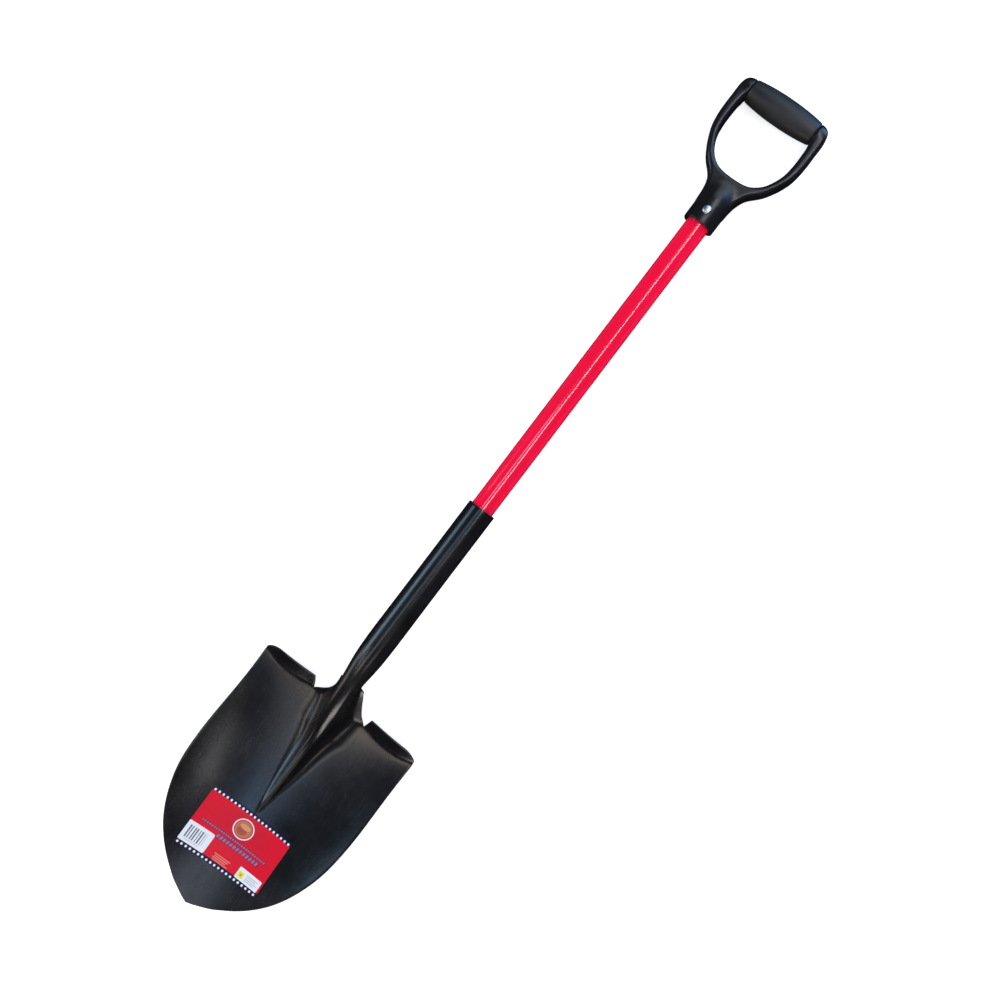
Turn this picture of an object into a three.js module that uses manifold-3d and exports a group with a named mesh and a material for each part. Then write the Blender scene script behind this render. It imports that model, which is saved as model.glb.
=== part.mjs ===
// Round point shovel, 1.17 m long: a one-piece pressed steel blade with a rolled
// open-back socket, a pultruded fibreglass shaft, and a moulded D-grip with a
// soft barrel on its crossbar.
//
// Design frame, before the part is laid down: the shaft axis is the Y axis,
// y = 0 is the socket mouth, +Y runs to the grip, +X is the blade's right when
// its dished face is seen, and +Z is the way that the dished face looks.
// The part lies on its back, dished face up, on the blade's heel and the grip.
import * as THREE from 'three';
import { mergeVertices } from 'three/addons/utils/BufferGeometryUtils.js';
import Module from 'manifold-3d';

const wasm = await Module();
wasm.setup();

// ---------------------------------------------------------------- dimensions (mm)
const SHAFT_R = 14.29;          // 1-1/8 in shaft
const SHAFT_BORE_R = 9.4;
const SHAFT_BUTT_R = 15.2;      // built-up butt, inside the socket
const SHAFT_Y0 = -186;
const SHAFT_Y1 = 449;

const SHEET_T = 2.0;            // 14 gauge blade steel
const TIP_Y = -578.2;
const LAST_ROW_Y = -575.6;
const JOIN_Y = -296;            // bottom of the notches between neck and steps
const STEP_TOP_Y = -281;        // free edge of the turned steps
const NOSE_X = 113.6;

const FERRULE_R = 19.8;         // D-grip ferrule
const FERRULE_BORE_R = 14.75;
const FERRULE_Y0 = 411.6;
const BORE_Y1 = 450;
const GRIP_DEPTH = 24;          // front to back, at the arms
const BAR_Y = 574.8;            // crossbar axis
const BAR_CORE_R = 7.5;
const BARREL_HALF = 45.0;
const BARREL_MID_R = 17.5;
const BARREL_END_R = 14.2;
const BARREL_BORE_R = 7.85;
const EAR_X0 = 45.35;
const EAR_X1 = 60.2;
const EAR_R = 13.8;

const GRIP_RIVET_Y = 427;
const RIVET_R = 2.4;
const RIVET_HEAD_R = 5.2;
const SOCKET_RIVET_Y = -38;

const PLUG_R = 9.05;

const LABEL_T = 0.4;
const LABEL_GAP = 0.3;

// ---------------------------------------------------------------- curves
// natural cubic spline through [t, v] pairs in rising t, straight beyond its ends
function spline(pairs) {
  const n = pairs.length, t = pairs.map((p) => p[0]), v = pairs.map((p) => p[1]);
  const m = new Array(n).fill(0), c = new Array(n).fill(0), d = new Array(n).fill(0);
  for (let i = 1; i < n - 1; i++) {
    const h0 = t[i] - t[i - 1], h1 = t[i + 1] - t[i];
    const r = 6 * ((v[i + 1] - v[i]) / h1 - (v[i] - v[i - 1]) / h0);
    const b = 2 * (h0 + h1) - h0 * c[i - 1];
    c[i] = h1 / b;
    d[i] = (r - h0 * d[i - 1]) / b;
  }
  for (let i = n - 2; i > 0; i--) m[i] = d[i] - c[i] * m[i + 1];
  const s0 = (v[1] - v[0]) / (t[1] - t[0]) - ((t[1] - t[0]) * m[1]) / 6;
  const s1 = (v[n - 1] - v[n - 2]) / (t[n - 1] - t[n - 2]) + ((t[n - 1] - t[n - 2]) * m[n - 2]) / 6;
  return (x) => {
    if (x <= t[0]) return v[0] + s0 * (x - t[0]);
    if (x >= t[n - 1]) return v[n - 1] + s1 * (x - t[n - 1]);
    let i = 0;
    while (x > t[i + 1]) i++;
    const h = t[i + 1] - t[i], a = (t[i + 1] - x) / h, b = (x - t[i]) / h;
    return a * v[i] + b * v[i + 1] + ((a ** 3 - a) * m[i] + (b ** 3 - b) * m[i + 1]) * h * h / 6;
  };
}
// straight lines between [t, v] pairs, level beyond the ends
function lines(pairs) {
  return (x) => {
    if (x <= pairs[0][0]) return pairs[0][1];
    for (let i = 1; i < pairs.length; i++) {
      if (x <= pairs[i][0]) {
        const [t0, v0] = pairs[i - 1], [t1, v1] = pairs[i];
        return v0 + (v1 - v0) * (x - t0) / (t1 - t0);
      }
    }
    return pairs[pairs.length - 1][1];
  };
}
const RAD = Math.PI / 180;
const clamp = (x, a, b) => Math.min(Math.max(x, a), b);
const ease = (x) => { const q = clamp(x, 0, 1); return q * q * (3 - 2 * q); };

// half width of the blade
const halfWidth = spline([
  [-576, 7.2], [-571.2, 18.6], [-566.5, 28.7], [-561.4, 36.9], [-556.3, 44.6], [-551.5, 51.3], [-546.6, 57.4],
  [-541.7, 62.9], [-536.8, 67.8], [-532, 72.2], [-522.6, 79.8], [-513, 86.2], [-503.5, 91.5], [-494.2, 95.9],
  [-489.7, 97.8], [-478.5, 102.0], [-467, 105.6], [-456, 108.3], [-445.6, 110.2], [-435, 111.5], [-413, 113.1],
  [-391, 113.5], [-358, 113.0], [-323, 112.9], [-300, 113.4], [-290, 113.6],
]);
// height of the dish along the middle of the blade
const floorLine = spline([
  [-579, -11.6], [-560, -15.6], [-540, -20.0], [-520, -24.5], [-500, -29.2], [-480, -34.0], [-460, -38.8],
  [-440, -43.6], [-420, -48.0], [-400, -51.8], [-380, -54.8], [-360, -56.6], [-340, -57.2], [-320, -56.6],
  [-300, -55.2], [-280, -53.6],
]);
// how strongly the dish is curved across
const dishing = spline([
  [-579, 0.00142], [-560, 0.00150], [-540, 0.00162], [-520, 0.00176], [-500, 0.00188], [-480, 0.00192], [-460, 0.00188],
  [-440, 0.00176], [-420, 0.00164], [-400, 0.00154], [-370, 0.00138], [-340, 0.00112], [-315, 0.00082], [-296, 0.00066], [-270, 0.00060],
]);
// where the face turns forward into the steps, and how steeply
const bendLine = spline([
  [0, -297], [20, -296], [33, -293.5], [45, -293], [60, -295.5], [75, -296.5], [90, -295.5], [102, -292.8], [116, -288],
]);
const bendSlope = (x) => {
  const t = clamp((x - 28) / 20, 0, 1);
  return 0.85 + 0.3 * t * t * (3 - 2 * t);
};
const stepTop = lines([[95, STEP_TOP_Y], [99, -281.6], [103, -282.8], [107, -284.6], [110.5, -286.9], [113.6, -290]]);

function face(x, y) {
  const ax = Math.abs(x), q = ax / 113;
  const dish = floorLine(y) + dishing(y) * ax * ax * (0.82 + 0.18 * q * q);
  const d = y - bendLine(ax);
  return dish + bendSlope(ax) * (Math.sqrt(d * d + 18) + d) / 2;
}

// the socket roll and the frog: crest height, crest radius and side angle
const crest = spline([
  [-470, -36.4], [-458, -39.2], [-448, -41.0], [-436, -42.5], [-420, -43.4], [-400, -43.4], [-380, -42.8], [-360, -41.2], [-340, -36.6], [-320, -27.6],
  [-300, -15.0], [-280, -4.2], [-262, 3.6], [-245, 9.6], [-225, 14.0], [-205, 16.1], [-190, 16.6], [-150, 16.6], [0, 16.6],
]);
const crestR = spline([
  [-450, 4.2], [-420, 4.2], [-400, 4.3], [-380, 4.6], [-360, 5.4], [-340, 6.8], [-320, 8.8], [-300, 10.6], [-280, 11.4],
  [-262, 11.9], [-254, 12.3], [-246, 12.9], [-238, 13.8], [-229, 14.8], [-217, 15.8], [-206, 16.3], [-190, 16.6],
  [-150, 16.6], [0, 16.6],
]);
const sideAngle = spline([
  [-470, 4], [-450, 10], [-436, 26], [-420, 42], [-400, 54], [-380, 61], [-360, 66], [-340, 69], [-320, 71], [-300, 71], [-280, 78],
  [-262, 92], [-245, 118], [-225, 150], [-210, 170], [-195, 176], [-150, 176], [0, 176],
]);
// half of the developed width of the sheet, above the notches
const sheetHalf = spline([
  [-300, 66], [-296, 62.5], [-288, 51.5], [-281, 43.2], [-274, 37.0], [-266, 32.6], [-256, 31.4], [-246, 33.4],
  [-236, 37.6], [-226, 42.4], [-216, 46.4], [-206, 48.9], [-195, 49.8], [-150, 49.8], [0, 49.8],
]);
// extra width of the sheet beside the neck, on the right
const neckLobe = lines([[-296, 0], [-288, 3.2], [-281, 6.4], [-274, 8.0], [-266, 7.4], [-258, 3.2], [-252, 0]]);
// where the inner part of the sheet meets the outer part
const innerX = lines([[-579, 2.5], [-560, 12], [-540, 18], [-500, 22], [-440, 27], [-400, 34], [-380, 37], [-330, 41], [JOIN_Y, 39]]);

// right half of a cross-section of the sheet's middle surface at y, crest first
function section(y) {
  const r = crestR(y), top = crest(y), b = sideAngle(y) * RAD, pts = [];
  const K = 40;
  const frog = top - floorLine(y);
  if (y < -469 || frog < 0.05) {
    for (let i = 0; i <= 120; i++) { const x = i * 0.75; pts.push([x, face(x, y)]); }
    return pts;
  }
  for (let i = 0; i <= K; i++) { const a = b * i / K; pts.push([r * Math.sin(a), top - r * (1 - Math.cos(a))]); }
  const [xa, wa] = pts[K];
  const dx = Math.cos(b), dz = -Math.sin(b);
  // the side runs straight on until it meets the face
  let L = 0;
  if (b < 100 * RAD && y < -250) {
    while (L < 80 && wa + dz * L > face(xa + dx * L, y)) L += 0.5;
    let a = Math.max(L - 0.5, 0);
    if (L < 80) {
      for (let i = 0; i < 30; i++) {
        const m = (a + L) / 2;
        if (wa + dz * m > face(xa + dx * m, y)) a = m; else L = m;
      }
    }
  } else L = 80;
  if (L >= 79) {
    for (let i = 1; i <= 80; i++) pts.push([xa + dx * i, wa + dz * i]);
    return pts;
  }
  const cx = xa + dx * L, cz = wa + dz * L;
  const k = ease((y + 442) / 40) * ease((-304 - y) / 26);
  const l1 = Math.min(0.75 * L, 11 + 4 * k), l2 = Math.min(clamp(0.6 * (top - cz), 2, 17) * (1 + 0.65 * k), Math.max(Math.min(innerX(y), 0.34 * halfWidth(y)) - cx - 1, 2));
  const p0 = [xa + dx * (L - l1), wa + dz * (L - l1)], p2 = [cx + l2, face(cx + l2, y)];
  for (let i = 1; i <= 6; i++) pts.push([xa + dx * (L - l1) * i / 6, wa + dz * (L - l1) * i / 6]);
  for (let i = 1; i <= 24; i++) {
    const t = i / 24, u = 1 - t;
    pts.push([u * u * p0[0] + 2 * u * t * cx + t * t * p2[0], u * u * p0[1] + 2 * u * t * cz + t * t * p2[1]]);
  }
  for (let x = p2[0] + 0.75; x < 90; x += 0.75) pts.push([x, face(x, y)]);
  return pts;
}
// n + 1 points along the first part of a section, up to a length or up to an x
function spread(pts, n, length, xEnd) {
  const s = [0];
  for (let i = 1; i < pts.length; i++) s.push(s[i - 1] + Math.hypot(pts[i][0] - pts[i - 1][0], pts[i][1] - pts[i - 1][1]));
  let end = length;
  if (xEnd !== undefined) {
    let i = 1;
    while (pts[i][0] < xEnd) i++;
    const f = (xEnd - pts[i - 1][0]) / (pts[i][0] - pts[i - 1][0]);
    end = s[i - 1] + f * (s[i] - s[i - 1]);
  }
  const out = [];
  let j = 1;
  for (let k = 0; k <= n; k++) {
    const want = end * k / n;
    while (j < pts.length - 1 && s[j] < want) j++;
    const f = clamp((want - s[j - 1]) / (s[j] - s[j - 1]), 0, 1.5);
    out.push([pts[j - 1][0] + f * (pts[j][0] - pts[j - 1][0]), pts[j - 1][1] + f * (pts[j][1] - pts[j - 1][1])]);
  }
  return out;
}

// ---------------------------------------------------------------- mesh helpers
// thickens a middle surface of quads and triangles into one closed sheet
function thicken(verts, faces, front, back) {
  const N = verts.map(() => [0, 0, 0]);
  for (const f of faces) {
    for (let i = 1; i < f.length - 1; i++) {
      const [a, b, c] = [verts[f[0]], verts[f[i]], verts[f[i + 1]]];
      const u = [b[0] - a[0], b[1] - a[1], b[2] - a[2]], v = [c[0] - a[0], c[1] - a[1], c[2] - a[2]];
      const n = [u[1] * v[2] - u[2] * v[1], u[2] * v[0] - u[0] * v[2], u[0] * v[1] - u[1] * v[0]];
      for (const k of [f[0], f[i], f[i + 1]]) for (let j = 0; j < 3; j++) N[k][j] += n[j];
    }
  }
  const n = verts.length, pos = [], idx = [], count = new Map();
  for (const d of [front, back]) {
    verts.forEach((p, i) => {
      const l = Math.hypot(...N[i]) || 1;
      pos.push(p[0] + d * N[i][0] / l, p[1] + d * N[i][1] / l, p[2] + d * N[i][2] / l);
    });
  }
  for (const f of faces) {
    for (let i = 1; i < f.length - 1; i++) {
      idx.push(f[0], f[i], f[i + 1]);
      idx.push(n + f[0], n + f[i + 1], n + f[i]);
    }
    for (let i = 0; i < f.length; i++) {
      const a = f[i], b = f[(i + 1) % f.length];
      count.set(`${a},${b}`, [a, b]);
    }
  }
  for (const [a, b] of count.values()) {
    if (!count.has(`${b},${a}`)) idx.push(a, n + a, n + b, a, n + b, b);
  }
  const g = new THREE.BufferGeometry();
  g.setAttribute('position', new THREE.Float32BufferAttribute(pos, 3));
  g.setIndex(idx);
  return g;
}
function toSolid(geometry) {
  const g = geometry.clone();
  for (const k of Object.keys(g.attributes)) if (k !== 'position') g.deleteAttribute(k);
  const m = mergeVertices(g, 1e-4), p = m.attributes.position.array;
  const tri = Array.from(m.index.array);
  const keep = [];
  let vol = 0;
  for (let i = 0; i < tri.length; i += 3) {
    const [a, b, c] = [tri[i], tri[i + 1], tri[i + 2]];
    if (a === b || b === c || a === c) continue;
    keep.push(a, b, c);
    vol += p[3 * a] * (p[3 * b + 1] * p[3 * c + 2] - p[3 * b + 2] * p[3 * c + 1])
      - p[3 * a + 1] * (p[3 * b] * p[3 * c + 2] - p[3 * b + 2] * p[3 * c])
      + p[3 * a + 2] * (p[3 * b] * p[3 * c + 1] - p[3 * b + 1] * p[3 * c]);
  }
  if (vol < 0) for (let i = 0; i < keep.length; i += 3) [keep[i], keep[i + 1]] = [keep[i + 1], keep[i]];
  return new wasm.Manifold(new wasm.Mesh({ numProp: 3, vertProperties: new Float32Array(p), triVerts: new Uint32Array(keep) }));
}
function fromSolid(solid) {
  const m = solid.getMesh(), g = new THREE.BufferGeometry(), p = new Float32Array(m.numVert * 3);
  for (let i = 0; i < m.numVert; i++) for (let j = 0; j < 3; j++) p[3 * i + j] = m.vertProperties[m.numProp * i + j];
  g.setAttribute('position', new THREE.BufferAttribute(p, 3));
  g.setIndex(Array.from(m.triVerts));
  return g;
}
// a turned solid about the Y axis from [radius, y] points, closed on itself or on the axis
function turned(points, sides) {
  return new THREE.LatheGeometry(points.map(([r, y]) => new THREE.Vector2(r, y)), sides);
}
const alongX = (g) => g.rotateZ(-Math.PI / 2);
const alongZ = (g) => g.rotateX(Math.PI / 2);

const group = new THREE.Group();
const laid = new THREE.Group();
group.add(laid);
function add(name, geometry, colour, roughness, metalness) {
  const mesh = new THREE.Mesh(geometry, new THREE.MeshStandardMaterial({ color: colour, roughness, metalness, side: THREE.FrontSide }));
  mesh.name = name;
  geometry.computeVertexNormals();
  laid.add(mesh);
  return mesh;
}

// ---------------------------------------------------------------- blade and socket
const NI = 11, NO = 6;          // columns to each side: roll or frog, and face
const upperRows = [0, -95, -190, -205, -218, -230, -241, -252, -262, -271, -279, -287.5, JOIN_Y];
const lowerRows = [-305, -314, -324, -335, -347, -361, -377, -395, -413, -430, -446, -463, -481, -499,
  -515, -530, -543, -554, -563.5, -571, LAST_ROW_Y];
{
  const verts = [], faces = [], at = new Map();
  const put = (key, p) => { at.set(key, verts.length); verts.push(p); };
  const rows = [...upperRows, ...lowerRows];
  rows.forEach((y, r) => {
    const below = y <= JOIN_Y + 1e-9;
    const half = below ? spread(section(y), NI, 0, Math.min(innerX(y), 0.34 * halfWidth(y))) : spread(section(y), NI, sheetHalf(y));
    const right = below ? half : spread(section(y), NI, sheetHalf(y) + neckLobe(y));
    for (let c = -NI; c <= NI; c++) {
      const [x, z] = c > 0 ? right[c] : half[-c];
      put(`${c}|${r}`, [Math.sign(c) * x, y, z]);
    }
    if (!below) return;
    const x0 = half[NI][0], x1 = halfWidth(y);
    for (let k = 1; k <= NO; k++) {
      const x = x0 + (x1 - x0) * k / NO;
      put(`${NI + k}|${r}`, [x, y, face(x, y)]);
      put(`${-NI - k}|${r}`, [-x, y, face(x, y)]);
    }
  });
  const quad = (a, b, c, d) => faces.push([at.get(a), at.get(b), at.get(c), at.get(d)]);
  const join = upperRows.length - 1;
  for (let r = 0; r < rows.length - 1; r++) {
    const w = r < join ? NI : NI + NO;
    for (let c = -w; c < w; c++) quad(`${c}|${r}`, `${c}|${r + 1}`, `${c + 1}|${r + 1}`, `${c + 1}|${r}`);
  }
  // the turned steps, above the notch line
  const NF = 3;
  const x0 = verts[at.get(`${NI}|${join}`)][0];
  for (const side of [1, -1]) {
    for (let v = 1; v <= NF; v++) {
      for (let k = 0; k <= NO; k++) {
        const f = v / NF, a = x0 + 4.6 * f, b = halfWidth(JOIN_Y) + (NOSE_X - 0.6 - halfWidth(JOIN_Y)) * f;
        const x = a + (b - a) * k / NO, y = JOIN_Y + (stepTop(x) - JOIN_Y) * f;
        put(`s${side}|${k}|${v}`, [side * x, y, face(x, y)]);
      }
    }
    const key = (k, v) => (v === 0 ? `${side * (NI + k)}|${join}` : `s${side}|${k}|${v}`);
    for (let v = 0; v < NF; v++) {
      for (let k = 0; k < NO; k++) {
        if (side > 0) quad(key(k, v), key(k + 1, v), key(k + 1, v + 1), key(k, v + 1));
        else quad(key(k + 1, v), key(k, v), key(k, v + 1), key(k + 1, v + 1));
      }
    }
  }
  // the point
  put('tip', [0, TIP_Y, face(0, TIP_Y)]);
  const last = rows.length - 1, w = NI + NO;
  for (let c = -w; c < w; c++) faces.push([at.get(`${c}|${last}`), at.get('tip'), at.get(`${c + 1}|${last}`)]);
  add('blade_and_socket', fromSolid(toSolid(thicken(verts, faces, SHEET_T / 2, -SHEET_T / 2))), 0x16151a, 0.38, 0.0);
}

// ---------------------------------------------------------------- shaft and its core plugs
const pin = (r, z0, z1, y, sides = 20) => toSolid(alongZ(new THREE.CylinderGeometry(r, r, z1 - z0, sides)).translate(0, y, (z0 + z1) / 2));
{
  const shaft = turned([
    [SHAFT_BORE_R, SHAFT_Y0], [SHAFT_BUTT_R - 1, SHAFT_Y0], [SHAFT_BUTT_R, SHAFT_Y0 + 1.5], [SHAFT_BUTT_R, -8], [SHAFT_R, -4],
    [SHAFT_R, SHAFT_Y1 - 1], [SHAFT_R - 1, SHAFT_Y1], [SHAFT_BORE_R, SHAFT_Y1], [SHAFT_BORE_R, SHAFT_Y0],
  ], 32);
  const drilled = toSolid(shaft).subtract(pin(RIVET_R + 0.35, -30, 30, GRIP_RIVET_Y)).subtract(pin(2.35, -30, 0, SOCKET_RIVET_Y, 16));
  add('handle_shaft', fromSolid(drilled), 0xb51d14, 0.3, 0.0);
  const rod = (y0, y1) => toSolid(turned([[0, y0], [PLUG_R - 0.8, y0], [PLUG_R, y0 + 1], [PLUG_R, y1 - 1], [PLUG_R - 0.8, y1], [0, y1]], 24));
  add('lower_core_plug', fromSolid(rod(SHAFT_Y0 + 0.5, -6).subtract(pin(2.35, -12, 0.5, SOCKET_RIVET_Y, 16))), 0xb8935f, 0.7, 0.0);
  add('upper_core_plug', fromSolid(rod(384, SHAFT_Y1 - 0.5).subtract(pin(RIVET_R + 0.35, -12, 12, GRIP_RIVET_Y))), 0xb8935f, 0.7, 0.0);
}

// ---------------------------------------------------------------- D-grip
const gripOuter = [
  [20.2, 446], [21.6, 453], [23.6, 459], [26.4, 465.5], [30.8, 471.3], [36.6, 477], [42.6, 484], [48.2, 493], [53.0, 502.3], [57.2, 514],
  [59.4, 527], [EAR_X1, 540], [EAR_X1, 568], [59.7, 574], [58.6, 578.6], [56.6, 582.4], [53.6, 585.6], [49.8, 587.8],
];
const gripInner = [
  [EAR_X0, 588.6], [EAR_X0, 561.5], [45.7, 557.5], [46.6, 552], [47.0, 543], [46.9, 528], [45.4, 514.5], [42.6, 505.5], [38.5, 496.5],
  [33.8, 489.4], [27.6, 483.8], [20.6, 479.8], [11.5, 477.8], [0, 477.3],
];
{
  const s = new THREE.Shape();
  s.moveTo(17.5, 436);
  for (const [x, y] of gripOuter) s.lineTo(x, y);
  for (const [x, y] of gripInner) s.lineTo(x, y);
  for (const [x, y] of [...gripInner].reverse().slice(1)) s.lineTo(-x, y);
  for (const [x, y] of [...gripOuter].reverse()) s.lineTo(-x, y);
  s.lineTo(-17.5, 436);
  const bevel = 3.2;
  const plate = new THREE.ExtrudeGeometry(s, {
    depth: GRIP_DEPTH - 2 * bevel, bevelEnabled: true, bevelThickness: bevel, bevelSize: bevel, bevelOffset: -bevel, bevelSegments: 1, curveSegments: 4,
  }).translate(0, 0, bevel - GRIP_DEPTH / 2);
  const ferrule = turned([
    [0, FERRULE_Y0], [FERRULE_R - 0.8, FERRULE_Y0], [FERRULE_R, FERRULE_Y0 + 0.8], [FERRULE_R, 438], [FERRULE_R - 0.4, 444], [FERRULE_R - 1.6, 450],
    [FERRULE_R - 3.6, 455.5], [FERRULE_R - 6.2, 460.5], [FERRULE_R - 9.3, 464.5], [0, 468.5],
  ], 32);
  const bore = turned([[0, FERRULE_Y0 - 5], [FERRULE_BORE_R, FERRULE_Y0 - 5], [FERRULE_BORE_R, BORE_Y1], [0, BORE_Y1]], 32);
  const core = alongX(new THREE.CylinderGeometry(BAR_CORE_R, BAR_CORE_R, 2 * (EAR_X0 + 3), 20)).translate(0, BAR_Y, 0);
  let frame = toSolid(plate).add(toSolid(ferrule)).add(toSolid(core));
  for (const side of [1, -1]) {
    const ear = alongX(turned([[0, EAR_X0], [EAR_R - 0.4, EAR_X0], [EAR_R, EAR_X0 + 0.5], [EAR_R - 0.4, 49], [EAR_R - 1.8, 53], [EAR_R - 4.6, 56.6], [EAR_R - 8.2, 59.0], [0, 59.6]], 28));
    if (side < 0) ear.rotateZ(Math.PI);
    // turned solids run along +X after alongX
    frame = frame.add(toSolid(ear.translate(0, BAR_Y, 0)));
  }
  frame = frame.subtract(toSolid(bore)).subtract(pin(RIVET_R + 0.35, -30, 30, GRIP_RIVET_Y));
  add('d_grip_frame', fromSolid(frame), 0x141318, 0.3, 0.0);

  const barrel = [[BARREL_BORE_R, -BARREL_HALF]];
  for (let i = 0; i <= 8; i++) {
    const x = -BARREL_HALF + 2 * BARREL_HALF * i / 8, q = x / BARREL_HALF;
    barrel.push([BARREL_MID_R - (BARREL_MID_R - BARREL_END_R) * Math.abs(q) ** 2.2, x]);
  }
  barrel.push([BARREL_BORE_R, BARREL_HALF], [BARREL_BORE_R, -BARREL_HALF]);
  add('grip_barrel', fromSolid(toSolid(alongX(turned(barrel, 28)).translate(0, BAR_Y, 0))), 0x1d1a19, 0.75, 0.0);
}

// ---------------------------------------------------------------- rivets
{
  const z0 = FERRULE_R + 0.3;
  const rivet = turned([
    [0, -z0 - 2.4], [2.6, -z0 - 2.2], [3.9, -z0 - 1.5], [3.9, -z0 - 1.2], [RIVET_R, -z0 - 1.2], [RIVET_R, z0], [RIVET_HEAD_R, z0], [RIVET_HEAD_R - 0.3, z0 + 0.9],
    [RIVET_HEAD_R - 1.4, z0 + 1.7], [2.0, z0 + 2.15], [0, z0 + 2.3],
  ], 16);
  add('grip_rivet', fromSolid(toSolid(alongZ(rivet).translate(0, GRIP_RIVET_Y, 0))), 0xc2c3c6, 0.3, 1.0);
  const washer = turned([[RIVET_R + 0.35, -z0 - 0.9], [5.6, -z0 - 0.9], [5.6, -z0], [RIVET_R + 0.35, -z0], [RIVET_R + 0.35, -z0 - 0.9]], 16);
  add('grip_rivet_washer', fromSolid(toSolid(alongZ(washer).translate(0, GRIP_RIVET_Y, 0))), 0xa9abae, 0.4, 1.0);
  const w0 = 16.6 + SHEET_T / 2 + 0.3;
  const blind = turned([
    [0, -w0 - 2.4], [2.4, -w0 - 2.2], [4.6, -w0 - 1.3], [5.5, -w0 - 0.4], [5.5, -w0], [2.0, -w0], [2.0, -1.0], [0, -1.0],
  ], 16);
  add('socket_rivet', fromSolid(toSolid(alongZ(blind).translate(0, SOCKET_RIVET_Y, 0))), 0x1a191d, 0.4, 0.6);
}

// ---------------------------------------------------------------- blade label
// where the label lies: its corners, top left, top right, bottom right and bottom left
const labelCorners = [[-58.6, -457.6], [57.2, -454.1], [61.3, -525.1], [-55.1, -533.7]];
const labelPoint = (u, v) => [0, 1].map((k) => {
  const [a, b, c, d] = labelCorners.map((p) => p[k]);
  return (a * (1 - u) + b * u) * (1 - v) + (d * (1 - u) + c * u) * v;
});
{
  const verts = [], faces = [], U = 8, V = 5;
  for (let j = 0; j <= V; j++) {
    for (let i = 0; i <= U; i++) {
      const [x, y] = labelPoint(i / U, j / V);
      verts.push([x, y, face(x, y)]);
    }
  }
  for (let j = 0; j < V; j++) for (let i = 0; i < U; i++) {
    const a = j * (U + 1) + i;
    faces.push([a, a + U + 1, a + U + 2, a + 1]);
  }
  const d = SHEET_T / 2 + LABEL_GAP + 0.15;
  add('blade_label', fromSolid(toSolid(thicken(verts, faces, d + LABEL_T, d))), 0xc0302a, 0.35, 0.0);
}

// ---------------------------------------------------------------- laid on its back
// The heel of the blade and the back of the grip's barrel are the two lowest places.
laid.updateMatrixWorld(true);
{
  const low = (names, pitch) => {
    let best = Infinity;
    for (const m of laid.children) {
      if (!names.includes(m.name)) continue;
      const p = m.geometry.attributes.position;
      for (let i = 0; i < p.count; i++) best = Math.min(best, p.getZ(i) * Math.cos(pitch) - p.getY(i) * Math.sin(pitch));
    }
    return best;
  };
  let a = 0, b = 6 * RAD;
  for (let i = 0; i < 50; i++) {
    const m = (a + b) / 2;
    if (low(['blade_and_socket'], m) < low(['grip_barrel', 'd_grip_frame', 'grip_rivet'], m)) a = m; else b = m;
  }
  laid.rotation.x = -(a + b) / 2;
  group.updateMatrixWorld(true);
  const box = new THREE.Box3();
  laid.children.forEach((m) => box.union(new THREE.Box3().setFromObject(m, true)));
  laid.position.set(-(box.min.x + box.max.x) / 2, -(box.min.y + box.max.y) / 2, -box.min.z);
  group.updateMatrixWorld(true);
}

export default group;
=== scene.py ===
import math

import bpy
import numpy as np
from mathutils import Euler, Vector, Matrix


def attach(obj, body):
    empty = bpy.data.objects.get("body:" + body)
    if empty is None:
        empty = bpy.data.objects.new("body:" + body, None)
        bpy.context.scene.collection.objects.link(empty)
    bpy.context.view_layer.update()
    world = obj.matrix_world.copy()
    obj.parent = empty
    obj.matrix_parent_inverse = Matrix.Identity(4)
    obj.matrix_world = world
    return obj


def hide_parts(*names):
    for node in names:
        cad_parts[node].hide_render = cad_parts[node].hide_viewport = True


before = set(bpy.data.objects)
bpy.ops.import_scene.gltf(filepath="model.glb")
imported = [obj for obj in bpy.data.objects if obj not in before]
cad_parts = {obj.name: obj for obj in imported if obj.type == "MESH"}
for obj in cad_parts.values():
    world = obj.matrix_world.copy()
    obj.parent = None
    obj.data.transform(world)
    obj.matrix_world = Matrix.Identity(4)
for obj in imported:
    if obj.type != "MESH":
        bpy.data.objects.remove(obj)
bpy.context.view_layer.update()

# The shovel lies on its back. The shapes below are written in its own design frame, in millimetres: the shaft axis is Y,
# y = 0 is the socket mouth, +Y runs to the grip, +X is the blade's right and +Z is the way that the dished face looks.
PITCH = math.radians(2.5141025)
SHIFT = (0.0052185, -6.657504, 42.6969217)
RAD = math.pi / 180


def laid(points):
    """Design frame in mm to the row frame in metres."""
    p = np.asarray(points, float).reshape(-1, 3)
    c, s = math.cos(PITCH), math.sin(PITCH)
    return np.stack([
        p[:, 0] + SHIFT[0],
        p[:, 1] * c + p[:, 2] * s + SHIFT[1],
        -p[:, 1] * s + p[:, 2] * c + SHIFT[2],
    ], 1) / 1000


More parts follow.
